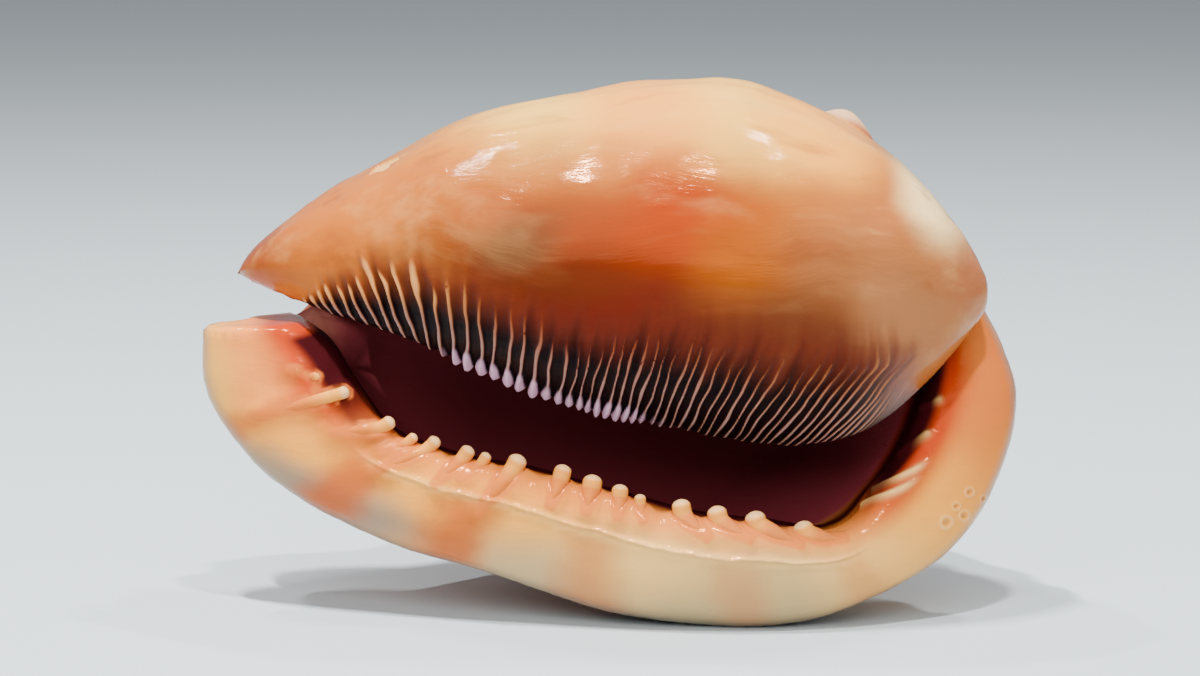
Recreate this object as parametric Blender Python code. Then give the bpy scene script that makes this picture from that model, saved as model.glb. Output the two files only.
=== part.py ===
"""A helmet shell, a heavy sea snail's shell, lying on its outer lip with the mouth facing -Y.

The shell is one grown solid. It is built here as a naturalist would describe it: a wall rolled up like
a scroll round the coiling axis, the pillar on that axis, a callus shield over the front, and a thick rolled
lip round the mouth. The four are joined by a voxel remesh, which leaves the hollow open to the mouth and to
the canal.

+X points to the spire, -Y is the side of the mouth, +Z is up. Angles turn about the coiling axis, which
runs along X: 0 is the front, 90 the top, 180 the back, 270 the underside. Sizes are in millimetres and
degrees, and the finished shell is moved so that it rests on z = 0 with its box centred on the origin.
"""

import math

import bmesh
import bpy
import numpy as np

MM = 0.001

# ---- the coil ----
GROWTH_PER_TURN = 2.7
GROWTH = math.log(GROWTH_PER_TURN) / (2 * math.pi)
AXIS_Z = 59.0
APEX_X = 65.0
COIL_START = -400
COIL_END = 300
COIL_STEPS = 180
PROFILE_STEPS = 46
WALL = 4.2
WALL_THINNING = 0.6
SMALLEST_TURN = 0.2

# Where the axis starts to lean back, how far it has leaned after one span, and the span.
CANAL_BEND = (-35.0, 8.0, 35.0)
SPIRE_BEND = (38.0, 9.0, 28.0)

# The rolled wall's outline under the axis, from the suture to the canal: how far it lies from the apex along
# the axis, its radius, and how strongly that reach grows with the coil.
PROFILE = (
    (21, 13, 1.0),
    (17, 20, 1.0),
    (18, 27.5, 1.0),
    (21.5, 34, 1.0),
    (26, 39, 0.95),
    (32.5, 43.5, 0.8),
    (41, 49, 0.55),
    (54, 54.5, 0.35),
    (67, 55, 0.25),
    (81, 51, 0.18),
    (96, 42.5, 0.14),
    (110, 33, 0.12),
    (121, 23.5, 0.1),
    (130, 18, 0.1),
    (142, 16, 0.1),
)

# Rows of knobs: reach along the profile, height, width along the profile, and the angle of one of them.
KNOB_ROWS = ((29, 6.5, 6.5, 120), (54, 4.5, 7.0, 257), (74, 4.5, 6.0, 261), (92, 2.0, 6.0, 255))
KNOBS_PER_TURN = 9.5
KNOB_SHARPNESS = 1.5
KNOBS_START = (98, 122)
KNOBS_END = (262, 292)
SPIRE_KNOBS = 0.4
SPIRE_KNOBS_END = (-90, -60)

# The canal is the part of the wall past this reach. At the back it stops short, which leaves the siphonal
# notch, and on the earlier turns, which the last one covers, most of it is gone. NOTCH and COVERED_CANAL say
# how much of it goes, and where. A low ridge stands where it meets the body: its height, angle and spread,
# and the reaches where it starts and is whole, each with what a full canal adds to it.
CANAL_REACH = 100
NOTCH = (0.62, 160, 75)
COVERED_CANAL = (0.75, -60, 70)
RIDGE = (4.0, 215, 45)
RIDGE_REACH = ((86, 26), (100, 42))

# The underside swells towards the floor, most of all at one row of knobs.
SWELL = 0.135
SWELL_TURN = (250, 50)
SWELL_ROW = (0.035, 84, 14)


def smooth_line(points, count):
    """count points on a smooth curve through the given ones, evenly spread along it."""
    points = np.asarray(points, float)
    last = len(points) - 1
    chord = np.r_[0, np.cumsum(np.linalg.norm(np.diff(points[:, :2], axis=0), axis=1))]
    slope = np.gradient(points, chord, axis=0)
    at = np.linspace(0, chord[-1], count)
    i = np.clip(np.searchsorted(chord, at, side="right") - 1, 0, last - 1)
    width = (chord[i + 1] - chord[i])[:, None]
    t = ((at - chord[i])[:, None]) / width
    a, b = points[i], points[i + 1]
    ma, mb = slope[i] * width, slope[i + 1] * width
    return (
        (2 * t**3 - 3 * t**2 + 1) * a
        + (t**3 - 2 * t**2 + t) * ma
        + (3 * t**2 - 2 * t**3) * b
        + (t**3 - t**2) * mb
    )


def ease(value, low, high):
    """0 below low, 1 above high, and smooth between."""
    t = np.clip((value - low) / (high - low), 0, 1)
    return t * t * (3 - 2 * t)


def hump(value, centre, width):
    return np.exp(-(((value - centre) / width) ** 2))


def axis_y(x):
    """The coiling axis leans back towards both of its ends."""
    canal_start, canal_lean, canal_span = CANAL_BEND
    spire_start, spire_lean, spire_span = SPIRE_BEND
    canal = canal_lean * np.clip((canal_start - x) / canal_span, 0, None) ** 2
    spire = spire_lean * np.clip((x - spire_start) / spire_span, 0, None) ** 2
    return canal + spire


def around(x, radius, angle):
    """The point at this radius and angle about the coiling axis, in millimetres."""
    return np.stack([x, axis_y(x) - radius * np.cos(angle), AXIS_Z + radius * np.sin(angle)], -1)


# ---- the outer lip ----
# Stations round the mouth, from the spire to the canal: outer margin (x, z), inner edge (x, z), how far the
# face lies in front of the axis, and the roll's thickness.
LIP = (
    ((60, 64), (52, 60), -3, 9),
    ((66.5, 58.5), (57, 56), -8, 9),
    ((69.2, 52.5), (60, 51), -9, 11),
    ((72, 47), (61.5, 44), -11, 12),
    ((74.3, 40), (61, 38), -15, 12),
    ((72.2, 26), (57, 28), -21, 14),
    ((61.5, 11), (50, 21), -27, 15),
    ((46.5, 2.8), (40, 18), -32, 16),
    ((32, -1.2), (27, 19.5), -35, 16),
    ((16, -1.5), (13, 21.5), -35, 16),
    ((-2, 1), (0, 25), -33, 16),
    ((-23, 6.6), (-15, 28.5), -29, 15),
    ((-41, 11), (-28.5, 30.5), -24, 14),
    ((-58, 19), (-39, 33.5), -19, 12),
    ((-68.7, 29), (-45.5, 40), -15, 13),
    ((-74.7, 39.5), (-48, 47), -12, 13),
    ((-75, 49.5), (-54, 51), -10, 12),
)
LIP_STEPS = 110
LIP_ROUND = 36

# The roll's section is a rounded box: powers under 1 square it, across the face and through the thickness.
# Its face is fullest near the mouth and falls away by this much to the margin.
LIP_SQUARENESS = (0.85, 0.8)
FACE_FALL = 1.5

# The last stretch of the coil turns into the lip: over this many degrees at the spire, and from this share
# of the lip on. It ends this far through the lip's thickness.
JOIN_TURNS = (95, 55)
JOIN_SPREAD = 0.35
JOIN_DEPTH = 0.55


def lip_table(count):
    flat = np.array([[*outer, *inner, depth, thick] for outer, inner, depth, thick in LIP], float)
    middle = (flat[:, :2] + flat[:, 2:4]) / 2
    return smooth_line(np.concatenate([middle, flat], axis=1), count)


def lip():
    rows = []
    for row in lip_table(LIP_STEPS):
        outer, inner, depth, thick = row[2:4], row[4:6], row[6], row[7]
        mid, half = (outer + inner) / 2, (outer - inner) / 2
        angle = np.linspace(0, 2 * math.pi, LIP_ROUND + 1)[:-1]
        c, s = np.cos(angle), np.sin(angle)
        across = np.sign(c) * np.abs(c) ** LIP_SQUARENESS[0]
        deep = np.sign(s) * np.abs(s) ** LIP_SQUARENESS[1]
        x = mid[0] + half[0] * across
        z = mid[1] + half[1] * across
        y = depth + thick / 2 * (1 + deep) + FACE_FALL * across * (deep < 0)
        rows.append(np.stack([x, y, z], -1))
    return add_mesh("lip", rows)


def between(value, start, end):
    """1 between the two ranges, 0 outside them, and smooth across each."""
    return ease(value, *start) * (1 - ease(value, *end))


def coil_surface():
    """Points of the rolled wall's outer side, as a grid of angle by profile, and its scale at each angle."""
    degrees = np.linspace(COIL_START, COIL_END, COIL_STEPS)[:, None]
    angle = np.radians(degrees)
    reach, radius, grows = smooth_line(PROFILE, PROFILE_STEPS).T[:, None]
    scale = np.exp(GROWTH * (angle - 1.5 * math.pi))

    notch, *notch_place = NOTCH
    covered, *covered_turns = COVERED_CANAL
    kept = 1 - notch * hump(degrees, *notch_place) - covered * (1 - ease(degrees, *covered_turns))
    reach = np.where(reach > CANAL_REACH, CANAL_REACH + (reach - CANAL_REACH) * kept, reach)
    ridge_start, ridge_whole = [base + longer * kept for base, longer in RIDGE_REACH]
    ridge = RIDGE[0] * hump(degrees, *RIDGE[1:]) * ease(reach, ridge_start, ridge_whole)

    knobs = 0
    for row, height, width, first in KNOB_ROWS:
        wave = 0.5 + 0.5 * np.cos(KNOBS_PER_TURN * (angle - math.radians(first)))
        knobs = knobs + height * wave**KNOB_SHARPNESS * hump(reach, row, width)
    last_turn = between(degrees, KNOBS_START, KNOBS_END)
    knobs = knobs * (last_turn + SPIRE_KNOBS * (1 - ease(degrees, *SPIRE_KNOBS_END)))

    row_swell, *row_place = SWELL_ROW
    swell = 1 + (SWELL + row_swell * hump(reach, *row_place)) * hump(degrees, *SWELL_TURN)
    x = APEX_X - reach * scale**grows
    points = around(x, radius * scale * swell + knobs + ridge, angle)

    middle = lip_table(PROFILE_STEPS)
    seam = np.stack([middle[:, 0], middle[:, 6] + JOIN_DEPTH * middle[:, 7], middle[:, 1]], -1)
    turns = np.interp(np.linspace(0, 1, PROFILE_STEPS), (0, JOIN_SPREAD), JOIN_TURNS)[None]
    share = ease(degrees, COIL_END - turns, COIL_END)[..., None]
    return points * (1 - share) + seam * share, np.broadcast_to(scale, x.shape)


def grid_normals(points):
    u = np.gradient(points, axis=0)
    v = np.gradient(points, axis=1)
    n = np.cross(u, v)
    return n / np.maximum(np.linalg.norm(n, axis=-1, keepdims=True), 1e-9)


def add_mesh(name, rows):
    """A closed mesh from rings of points in millimetres: a skin along them and a ladder of faces at each end."""
    rows = np.asarray(rows, float)
    bm = bmesh.new()
    rings = [[bm.verts.new(point * MM) for point in row] for row in rows]
    for ring, following in zip(rings, rings[1:]):
        for j in range(len(ring)):
            bm.faces.new((ring[j - 1], following[j - 1], following[j], ring[j]))
    for ring in (rings[0], rings[-1]):
        for j in range(len(ring) // 2 - 1):
            bm.faces.new((ring[j], ring[j + 1], ring[-2 - j], ring[-1 - j]))
    bmesh.ops.remove_doubles(bm, verts=bm.verts, dist=1e-6)
    bmesh.ops.recalc_face_normals(bm, faces=bm.faces)
    mesh = bpy.data.meshes.new(name)
    bm.to_mesh(mesh)
    bm.free()
    obj = bpy.data.objects.new(name, mesh)
    bpy.context.scene.collection.objects.link(obj)
    return obj


def rolled_wall():
    """The coil as a closed wall: its outer and inner side as one ring of points at each angle."""
    outer, scale = coil_surface()
    normal = grid_normals(outer)
    thick = WALL * np.clip(scale, SMALLEST_TURN, 1)[..., None] ** WALL_THINNING
    inner = outer - normal * thick
    return add_mesh("rolled_wall", np.concatenate([outer, inner[:, ::-1]], axis=1))


# ---- the columella, the pillar on the axis ----
# Its radius along the axis, from the canal to the spire, which it fills.
PILLAR = (
    (-57, 1),
    (-52, 3),
    (-45, 6),
    (-32, 9),
    (-10, 9),
    (20, 9),
    (38, 10),
    (46, 13),
    (51, 12),
    (57, 6),
    (62, 2),
)
PILLAR_STEPS = 30
PILLAR_SIDES = 24


def pillar():
    angle = np.linspace(0, 2 * math.pi, PILLAR_SIDES, endpoint=False)
    line = smooth_line(PILLAR, PILLAR_STEPS)
    return add_mesh("pillar", [around(np.full(PILLAR_SIDES, x), radius, angle) for x, radius in line])


# ---- the shield, the callus over the front ----
# Sections across the shield, from the canal to the spire: x, then the top (y, z), the foremost point (y, z)
# and the toothed lower edge (y, z).
SHIELD = (
    (-69.6, (8, 58.4), (5.5, 57.8), (7, 57.3)),
    (-67, (7.5, 62.2), (1, 59.5), (3, 57)),
    (-63, (7, 66), (-4, 60.5), (-1, 56)),
    (-57, (6.5, 70.7), (-9.5, 61.5), (-6, 54.3)),
    (-50, (6, 75.2), (-15, 62.5), (-11, 52.5)),
    (-38, (6, 81.5), (-23.5, 63), (-17, 49.4)),
    (-24, (6, 88), (-30, 63), (-21, 44.5)),
    (-9, (6, 91.6), (-34, 62), (-22, 38.6)),
    (6, (6, 94.2), (-35.5, 61), (-22, 35)),
    (20, (6, 95), (-36, 60), (-21, 31.5)),
    (34, (5, 91.2), (-35, 59), (-20, 30)),
    (46, (4, 85), (-32, 58), (-19.5, 32.5)),
    (56, (-2, 77.2), (-27, 57.5), (-18.5, 40)),
    (62, (-7, 70.4), (-22, 57), (-16, 46)),
    (66, (-10, 64.3), (-17.5, 57), (-13.5, 50.5)),
    (68.7, (-12, 59.3), (-14, 57), (-13, 54.5)),
)
SHIELD_STEPS = 72
EDGE_TURN = math.radians(68)

# The rim reaches back over the top, falling a little, and less where the shield is lower than this height.
RIM_REACH = 7.0
RIM_FALL = 1.6
FULL_RIM_HEIGHT = 30.0

# The callus's depth behind the rim, at the foremost line and at the toothed edge, and the share of the
# shield's height that it takes up at most, where the shield runs out at its ends.
CALLUS = (4.0, 9.0, 11.0)
CALLUS_SHARE = 0.42


def shield_path(top, front, edge):
    """One section's outline, (y, z), from behind the top down to the lower edge, and the callus's depth."""
    height = top[1] - edge[1]
    rim = np.linspace(1, 0, 9)[:-1]
    upper = np.linspace(0, math.pi / 2, 19)
    lower = np.linspace(0, EDGE_TURN, 15)[1:]
    y = np.concatenate([
        top[0] + RIM_REACH * rim * min(1, height / FULL_RIM_HEIGHT),
        top[0] + (front[0] - top[0]) * np.sin(upper),
        front[0] + (edge[0] - front[0]) / (1 - math.cos(EDGE_TURN)) * (1 - np.cos(lower)),
    ])
    z = np.concatenate([
        top[1] - RIM_FALL * rim**2 * min(1, height / FULL_RIM_HEIGHT),
        front[1] + (top[1] - front[1]) * np.cos(upper),
        front[1] + (edge[1] - front[1]) / math.sin(EDGE_TURN) * np.sin(lower),
    ])
    depth = np.interp(np.linspace(0, 2, len(y)), (0, 1, 2), CALLUS)
    return np.stack([y, z], -1), np.minimum(depth, CALLUS_SHARE * height)


def shield():
    # the top's height stands second as well, so that the sections are spread evenly along the rim
    flat = np.array([[x, top[1], *top, *front, *edge] for x, top, front, edge in SHIELD], float)
    rows = []
    for x, _, *section in smooth_line(flat, SHIELD_STEPS):
        path, depth = shield_path(section[0:2], section[2:4], section[4:6])
        along = np.gradient(path, axis=0)
        along /= np.linalg.norm(along, axis=1, keepdims=True)
        inward = np.stack([-along[:, 1], along[:, 0]], -1)
        loop = np.concatenate([path, (path + inward * depth[:, None])[::-1]])
        rows.append(np.insert(loop, 0, x, axis=1))
    return add_mesh("shield", rows)


# ---- one solid ----
VOXEL = 1.2
SMOOTHING = 6
TRIANGLES = 7400
REST_DEPTH = 0.45
COLOUR = (0.86, 0.52, 0.28, 1.0)
ROUGHNESS = 0.25


def join(objects, name):
    """One object from several, its faces kept as they are."""
    bm = bmesh.new()
    for obj in objects:
        bm.from_mesh(obj.data)
        bpy.data.objects.remove(obj)
    mesh = bpy.data.meshes.new(name)
    bm.to_mesh(mesh)
    bm.free()
    made = bpy.data.objects.new(name, mesh)
    bpy.context.scene.collection.objects.link(made)
    return made


def evaluated_mesh(obj):
    """The object's mesh with its modifiers in it."""
    graph = bpy.context.evaluated_depsgraph_get()
    graph.update()
    return bpy.data.meshes.new_from_object(obj.evaluated_get(graph))


def merge_forms(shell):
    """Joins the overlapping forms in one smooth closed surface of about TRIANGLES faces."""
    remesh = shell.modifiers.new("One surface", "REMESH")
    remesh.mode = "VOXEL"
    remesh.voxel_size = VOXEL * MM
    smooth = shell.modifiers.new("Grown smooth", "SMOOTH")
    smooth.factor = 0.5
    smooth.iterations = SMOOTHING
    dense = evaluated_mesh(shell)
    decimate = shell.modifiers.new("Facets", "DECIMATE")
    decimate.ratio = TRIANGLES / sum(len(face.vertices) - 2 for face in dense.polygons)
    shell.data = evaluated_mesh(shell)
    shell.modifiers.clear()


def wear_flat(shell):
    """Wears flat spots where the shell stands, on the lip and the knobs behind, and puts them on z = 0."""
    bm = bmesh.new()
    bm.from_mesh(shell.data)
    bmesh.ops.triangulate(bm, faces=bm.faces)
    floor = min(vert.co.z for vert in bm.verts) + REST_DEPTH * MM
    whole = bm.verts[:] + bm.edges[:] + bm.faces[:]
    bmesh.ops.bisect_plane(bm, geom=whole, plane_co=(0, 0, floor), plane_no=(0, 0, -1), clear_outer=True)
    bmesh.ops.holes_fill(bm, edges=[edge for edge in bm.edges if edge.is_boundary])
    bmesh.ops.triangulate(bm, faces=[face for face in bm.faces if len(face.verts) > 3])
    points = np.array([vert.co for vert in bm.verts])
    centre = (points.min(axis=0) + points.max(axis=0)) / 2
    bmesh.ops.translate(bm, verts=bm.verts, vec=(-centre[0], -centre[1], -floor))
    bm.to_mesh(shell.data)
    bm.free()


def shell_material():
    material = bpy.data.materials.new("Polished shell callus")
    material.use_nodes = True
    shader = material.node_tree.nodes["Principled BSDF"]
    shader.inputs["Base Color"].default_value = COLOUR
    shader.inputs["Roughness"].default_value = ROUGHNESS
    shader.inputs["Metallic"].default_value = 0.0
    return material


def main():
    for obj in list(bpy.data.objects):
        bpy.data.objects.remove(obj)
    shell = join([rolled_wall(), pillar(), shield(), lip()], "shell")
    merge_forms(shell)
    wear_flat(shell)
    shell.data.materials.clear()
    shell.data.materials.append(shell_material())
    return shell


if __name__ == "__main__":
    main()
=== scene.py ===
"""A helmet shell, a heavy sea snail's shell, lying on its outer lip with the mouth facing -Y.

The shape is built in millimetres about the coiling axis, which runs along X with the spire at +X, and is then
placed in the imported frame. Angles turn about that axis: 0 is the front, 90 the top, 180 the back, 270 below.

The whorls, the pillar, the shield and the lip are made one by one and then merged in one skin. The forms have
named marks on their points, such as how far along the lip a point is. The merged skin reads them from the
nearest place on each form, and the relief and the colours follow them.
"""

import ast
import math

import bmesh
import bpy
import numpy as np
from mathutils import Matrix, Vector


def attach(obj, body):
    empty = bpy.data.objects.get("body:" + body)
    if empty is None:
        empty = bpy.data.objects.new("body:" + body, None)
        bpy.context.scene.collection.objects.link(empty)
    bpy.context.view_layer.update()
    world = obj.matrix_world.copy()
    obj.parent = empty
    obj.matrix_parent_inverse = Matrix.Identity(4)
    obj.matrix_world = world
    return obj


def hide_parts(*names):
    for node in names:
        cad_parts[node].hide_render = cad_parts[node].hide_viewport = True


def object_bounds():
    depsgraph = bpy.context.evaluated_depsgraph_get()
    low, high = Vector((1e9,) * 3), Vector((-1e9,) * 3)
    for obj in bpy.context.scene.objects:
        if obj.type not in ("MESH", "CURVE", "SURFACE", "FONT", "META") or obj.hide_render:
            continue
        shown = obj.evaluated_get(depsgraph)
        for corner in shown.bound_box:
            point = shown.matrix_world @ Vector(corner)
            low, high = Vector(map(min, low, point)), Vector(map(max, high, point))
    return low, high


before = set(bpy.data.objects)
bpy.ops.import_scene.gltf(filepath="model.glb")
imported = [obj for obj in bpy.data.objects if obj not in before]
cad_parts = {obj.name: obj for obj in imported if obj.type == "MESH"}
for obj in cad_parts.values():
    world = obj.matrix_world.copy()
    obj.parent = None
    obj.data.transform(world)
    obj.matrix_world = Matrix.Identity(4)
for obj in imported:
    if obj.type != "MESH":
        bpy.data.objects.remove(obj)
cad_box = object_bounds()

MM = 0.001
DEGREE = 0.0174533
WELD = 1e-6
AXIS_Z = 59.0
PLACE = np.array([0.206, -5.870, 1.211])


# ---------------------------------------------------------------- small tools


def smooth_line(points, at):
    """Points on a smooth curve through the given ones, at these shares (0 to 1) of the way along it.

    The way is measured in the first two columns, and the others are carried along.
    """
    points = np.asarray(points, float)
    chord = np.r_[0, np.cumsum(np.linalg.norm(np.diff(points[:, :2], axis=0), axis=1))]
    slope = np.gradient(points, chord, axis=0)
    at = np.asarray(at) * chord[-1]
    i = np.clip(np.searchsorted(chord, at, side="right") - 1, 0, len(points) - 2)
    width = (chord[i + 1] - chord[i])[:, None]
    t = (at - chord[i])[:, None] / width
    a, b = points[i], points[i + 1]
    ma, mb = slope[i] * width, slope[i + 1] * width
    return (
        (2 * t**3 - 3 * t**2 + 1) * a
        + (t**3 - 2 * t**2 + t) * ma
        + (3 * t**2 - 2 * t**3) * b
        + (t**3 - t**2) * mb
    )


def ease(value, low, high):
    """0 below low, 1 above high, and smooth between."""
    t = np.clip((value - low) / (high - low), 0, 1)
    return t * t * (3 - 2 * t)


def link(name, data):
    made = bpy.data.objects.new(name, data)
    bpy.context.scene.collection.objects.link(made)
    return made


def ring_skin(name, rings, **marks):
    """A closed skin along rings of points in millimetres, with named marks on its points."""
    rings = np.asarray(rings, float)
    count, sides = rings.shape[:2]
    grid = np.arange(count * sides).reshape(count, sides)
    after = np.roll(grid, -1, axis=1)
    faces = np.stack([grid[:-1], grid[1:], after[1:], after[:-1]], -1).reshape(-1, 4).tolist()
    half = sides // 2
    for ring in (grid[0], grid[-1]):
        faces += [[ring[j], ring[j + 1], ring[-2 - j], ring[-1 - j]] for j in range(half - 1)]
    mesh = bpy.data.meshes.new(name)
    mesh.from_pydata(((rings + PLACE) * MM).reshape(-1, 3), [], faces)
    for mark, values in marks.items():
        layer = mesh.attributes.new(mark, "FLOAT", "POINT")
        layer.data.foreach_set("value", np.broadcast_to(values, grid.shape).astype(np.float32).ravel())
    bm = bmesh.new()
    bm.from_mesh(mesh)
    bmesh.ops.remove_doubles(bm, verts=bm.verts, dist=WELD)
    bmesh.ops.recalc_face_normals(bm, faces=bm.faces)
    bm.to_mesh(mesh)
    bm.free()
    return link(name, mesh)


def line_guide(name, lines, widths=()):
    """Curves for the trees to read: lines through points in millimetres, and a width for each if given."""
    curve = bpy.data.curves.new(name, "CURVE")
    curve.dimensions = "3D"
    for points in lines:
        spline = curve.splines.new("POLY")
        spline.points.add(len(points) - 1)
        spline.points.foreach_set("co", np.c_[points, np.ones(len(points))].ravel())
    for spline, width in zip(curve.splines, widths):
        spline.points.foreach_set("radius", [width] * len(spline.points))
    guide = link(name, curve)
    guide.hide_render = True
    return guide


# ---------------------------------------------------------------- node trees


def add(tree, kind, inputs=(), output=0, **settings):
    """Adds a node with its settings, feeds its inputs with links or values, and returns one output."""
    node = tree.nodes.new(kind)
    for name, value in settings.items():
        setattr(node, name, value)
    for key, value in inputs.items() if isinstance(inputs, dict) else enumerate(inputs):
        if isinstance(value, bpy.types.NodeSocket):
            tree.links.new(value, node.inputs[key])
        else:
            node.inputs[key].default_value = value
    return node.outputs[output]


OPERATIONS = {ast.Add: "ADD", ast.Sub: "SUBTRACT", ast.Mult: "MULTIPLY", ast.Div: "DIVIDE", ast.Pow: "POWER"}
WORDS = {
    "sin": "SINE",
    "cos": "COSINE",
    "exp": "EXPONENT",
    "min": "MINIMUM",
    "max": "MAXIMUM",
    "abs": "ABSOLUTE",
}


def formula(tree, text, **values):
    """Adds the math nodes of a written formula.

    ease(value, low, high) is as above, and hump(value, middle, width) is a soft bell that peaks at 1.
    """

    def build(part):
        if isinstance(part, ast.Constant):
            return float(part.value)
        if isinstance(part, ast.Name):
            return values[part.id]
        if isinstance(part, ast.UnaryOp):
            inner = build(part.operand)
            if isinstance(inner, float):
                return -inner
            return add(tree, "ShaderNodeMath", [inner, -1.0], operation="MULTIPLY")
        if isinstance(part, ast.BinOp):
            pair = [build(part.left), build(part.right)]
            return add(tree, "ShaderNodeMath", pair, operation=OPERATIONS[type(part.op)])
        name, given = part.func.id, [build(one) for one in part.args]
        if name == "ease":
            return add(tree, "ShaderNodeMapRange", given + [0.0, 1.0], interpolation_type="SMOOTHSTEP")
        if name == "hump":
            offset = formula(tree, "(v - c) / w", v=given[0], c=given[1], w=given[2])
            return formula(tree, "exp(-t * t)", t=offset)
        return add(tree, "ShaderNodeMath", given, operation=WORDS.get(name, name.upper()))

    return build(ast.parse(text).body[0].value)


def work_out(tree, known, **lines):
    """Works out written formulas in turn, and keeps each under its name for those that follow."""
    for name, text in lines.items():
        known[name] = formula(tree, text, **known)


def scaled(tree, vector, by):
    return add(tree, "ShaderNodeVectorMath", {0: vector, "Scale": by}, operation="SCALE")


def parts_of(tree, vector):
    """The x, y and z of a vector."""
    return add(tree, "ShaderNodeSeparateXYZ", [vector]).node.outputs


def noise(tree, place, scale=1.0, detail=1.0, roughness=0.5, output=0):
    inputs = {"Vector": place, "Scale": scale, "Detail": detail, "Roughness": roughness}
    return add(tree, "ShaderNodeTexNoise", inputs, output)


def new_tree(name, sockets):
    """A geometry tree with a mesh in and out and the named inputs, and those inputs by name."""
    tree = bpy.data.node_groups.new(name, "GeometryNodeTree")
    tree.interface.new_socket("Geometry", in_out="INPUT", socket_type="NodeSocketGeometry")
    tree.interface.new_socket("Geometry", in_out="OUTPUT", socket_type="NodeSocketGeometry")
    for label, value in sockets.items():
        kind = {int: "Int", float: "Float", str: "Object"}[type(value)]
        socket = tree.interface.new_socket(label, in_out="INPUT", socket_type="NodeSocket" + kind)
        if kind != "Object":
            socket.default_value = value
    entry = tree.nodes.new("NodeGroupInput")
    return tree, {socket.name: socket for socket in entry.outputs if socket.name}


def end_tree(tree, geometry, material):
    """Ends a tree in Realize Instances and Set Material."""
    solid = add(tree, "GeometryNodeRealizeInstances", [geometry])
    painted = add(tree, "GeometryNodeSetMaterial", {"Geometry": solid, "Material": material})
    tree.links.new(painted, tree.nodes.new("NodeGroupOutput").inputs[0])


def read_object(tree, guide):
    return add(tree, "GeometryNodeObjectInfo", {"Object": guide}, "Geometry")


def read_mark(tree, name):
    if tree.type == "SHADER":
        return add(tree, "ShaderNodeAttribute", output="Fac", attribute_name=name)
    return add(tree, "GeometryNodeInputNamedAttribute", {"Name": name}, data_type="FLOAT")


def write_marks(tree, geometry, marks, where=True):
    for name, value in marks.items():
        inputs = {"Geometry": geometry, "Selection": where, "Name": name, "Value": value}
        geometry = add(tree, "GeometryNodeStoreNamedAttribute", inputs, data_type="FLOAT", domain="POINT")
    return geometry


def join_parts(tree, *parts):
    joined = tree.nodes.new("GeometryNodeJoinGeometry")
    for part in parts:
        tree.links.new(part, joined.inputs[0])
    return joined.outputs[0]


def raise_skin(tree, skin, rise):
    """Moves a skin's points along their normals by this many millimetres."""
    rise = formula(tree, "rise * mm", rise=rise, mm=MM)
    offset = scaled(tree, add(tree, "GeometryNodeInputNormal"), rise)
    return add(tree, "GeometryNodeSetPosition", {"Geometry": skin, "Offset": offset})


def grow(obj, tree, values):
    """Runs a tree on an object and keeps the result as its plain mesh."""
    modifier = obj.modifiers.new(tree.name, "NODES")
    modifier.node_group = tree
    for item in tree.interface.items_tree:
        if item.in_out == "INPUT" and item.name in values:
            modifier[item.identifier] = values[item.name]
    bake(obj)
    return obj


def bake(obj):
    """Turns the object's modifiers into its mesh."""
    graph = bpy.context.evaluated_depsgraph_get()
    graph.update()
    mesh = bpy.data.meshes.new_from_object(obj.evaluated_get(graph))
    old, obj.data = obj.data, mesh
    obj.modifiers.clear()
    bpy.data.meshes.remove(old)


# ---------------------------------------------------------------- the outer lip

# Stations round the mouth, from the spire to the canal: outer margin (x, z), inner edge (x, z), y of the
# face, and the roll's thickness.
LIP = (
    ((60, 64), (52, 60), -3, 9),
    ((66.5, 58.5), (56, 56), -8, 9),
    ((69.2, 52.5), (58, 51), -9, 11),
    ((72, 47), (58.5, 45), -11, 12),
    ((74.3, 40), (57, 39), -15, 12),
    ((72.2, 26), (53.5, 30), -21, 14),
    ((61.5, 11), (47, 21.5), -27, 15),
    ((46.5, 2.8), (40, 15.5), -32, 16),
    ((32, -1.2), (27, 17.3), -35, 16),
    ((16, -1.5), (13, 19.2), -35, 16),
    ((-2, 1), (0, 22.8), -33, 16),
    ((-23, 7.4), (-15, 26.3), -29, 15),
    ((-40.5, 11.8), (-28.5, 28.3), -24, 14),
    ((-57.5, 19.6), (-40, 32.5), -19, 12),
    ((-68.7, 29), (-47, 41), -15, 13),
    ((-74.7, 39.5), (-51.5, 47.5), -12, 13),
    ((-75, 49.5), (-57, 51), -10, 12),
)
LIP_STEPS = 220
LIP_SIDES = 48
# The powers that square the round section off, across it and front to back.
LIP_SQUARENESS = (0.85, 0.8)
# How far the face leans back at its outer margin, and forward at its inner edge.
FACE_FALL = 1.5
# Behind its inner half the roll reaches this much further back, into the wall of the mouth.
RAMP = 9.0


def lip_stations(at):
    """The lip's sections at these shares along it: middle, outer margin, inner edge, depth and thickness."""
    flat = np.array([[*outer, *inner, depth, thick] for outer, inner, depth, thick in LIP], float)
    middle = (flat[:, :2] + flat[:, 2:4]) / 2
    return smooth_line(np.concatenate([middle, flat], axis=1), at)


def lip_point(row, turn):
    """A point of the lip. Turn 0 is the outer margin, 90 the back, 180 the inner edge, 270 the face."""
    outer, inner, depth, thick = row[2:4], row[4:6], row[6], row[7]
    angle = np.radians(turn)
    c, s = np.cos(angle), np.sin(angle)
    across = np.sign(c) * np.abs(c) ** LIP_SQUARENESS[0]
    deep = np.sign(s) * np.abs(s) ** LIP_SQUARENESS[1]
    ramp = RAMP * (1 - ease(across, -0.05, 0.35)) * (deep > 0)
    middle, half = (outer + inner) / 2, (outer - inner) / 2
    y = depth + thick / 2 + (thick / 2 + ramp) * deep + FACE_FALL * across * (deep < 0)
    return np.stack([middle[0] + half[0] * across, y, middle[1] + half[1] * across], -1)


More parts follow.
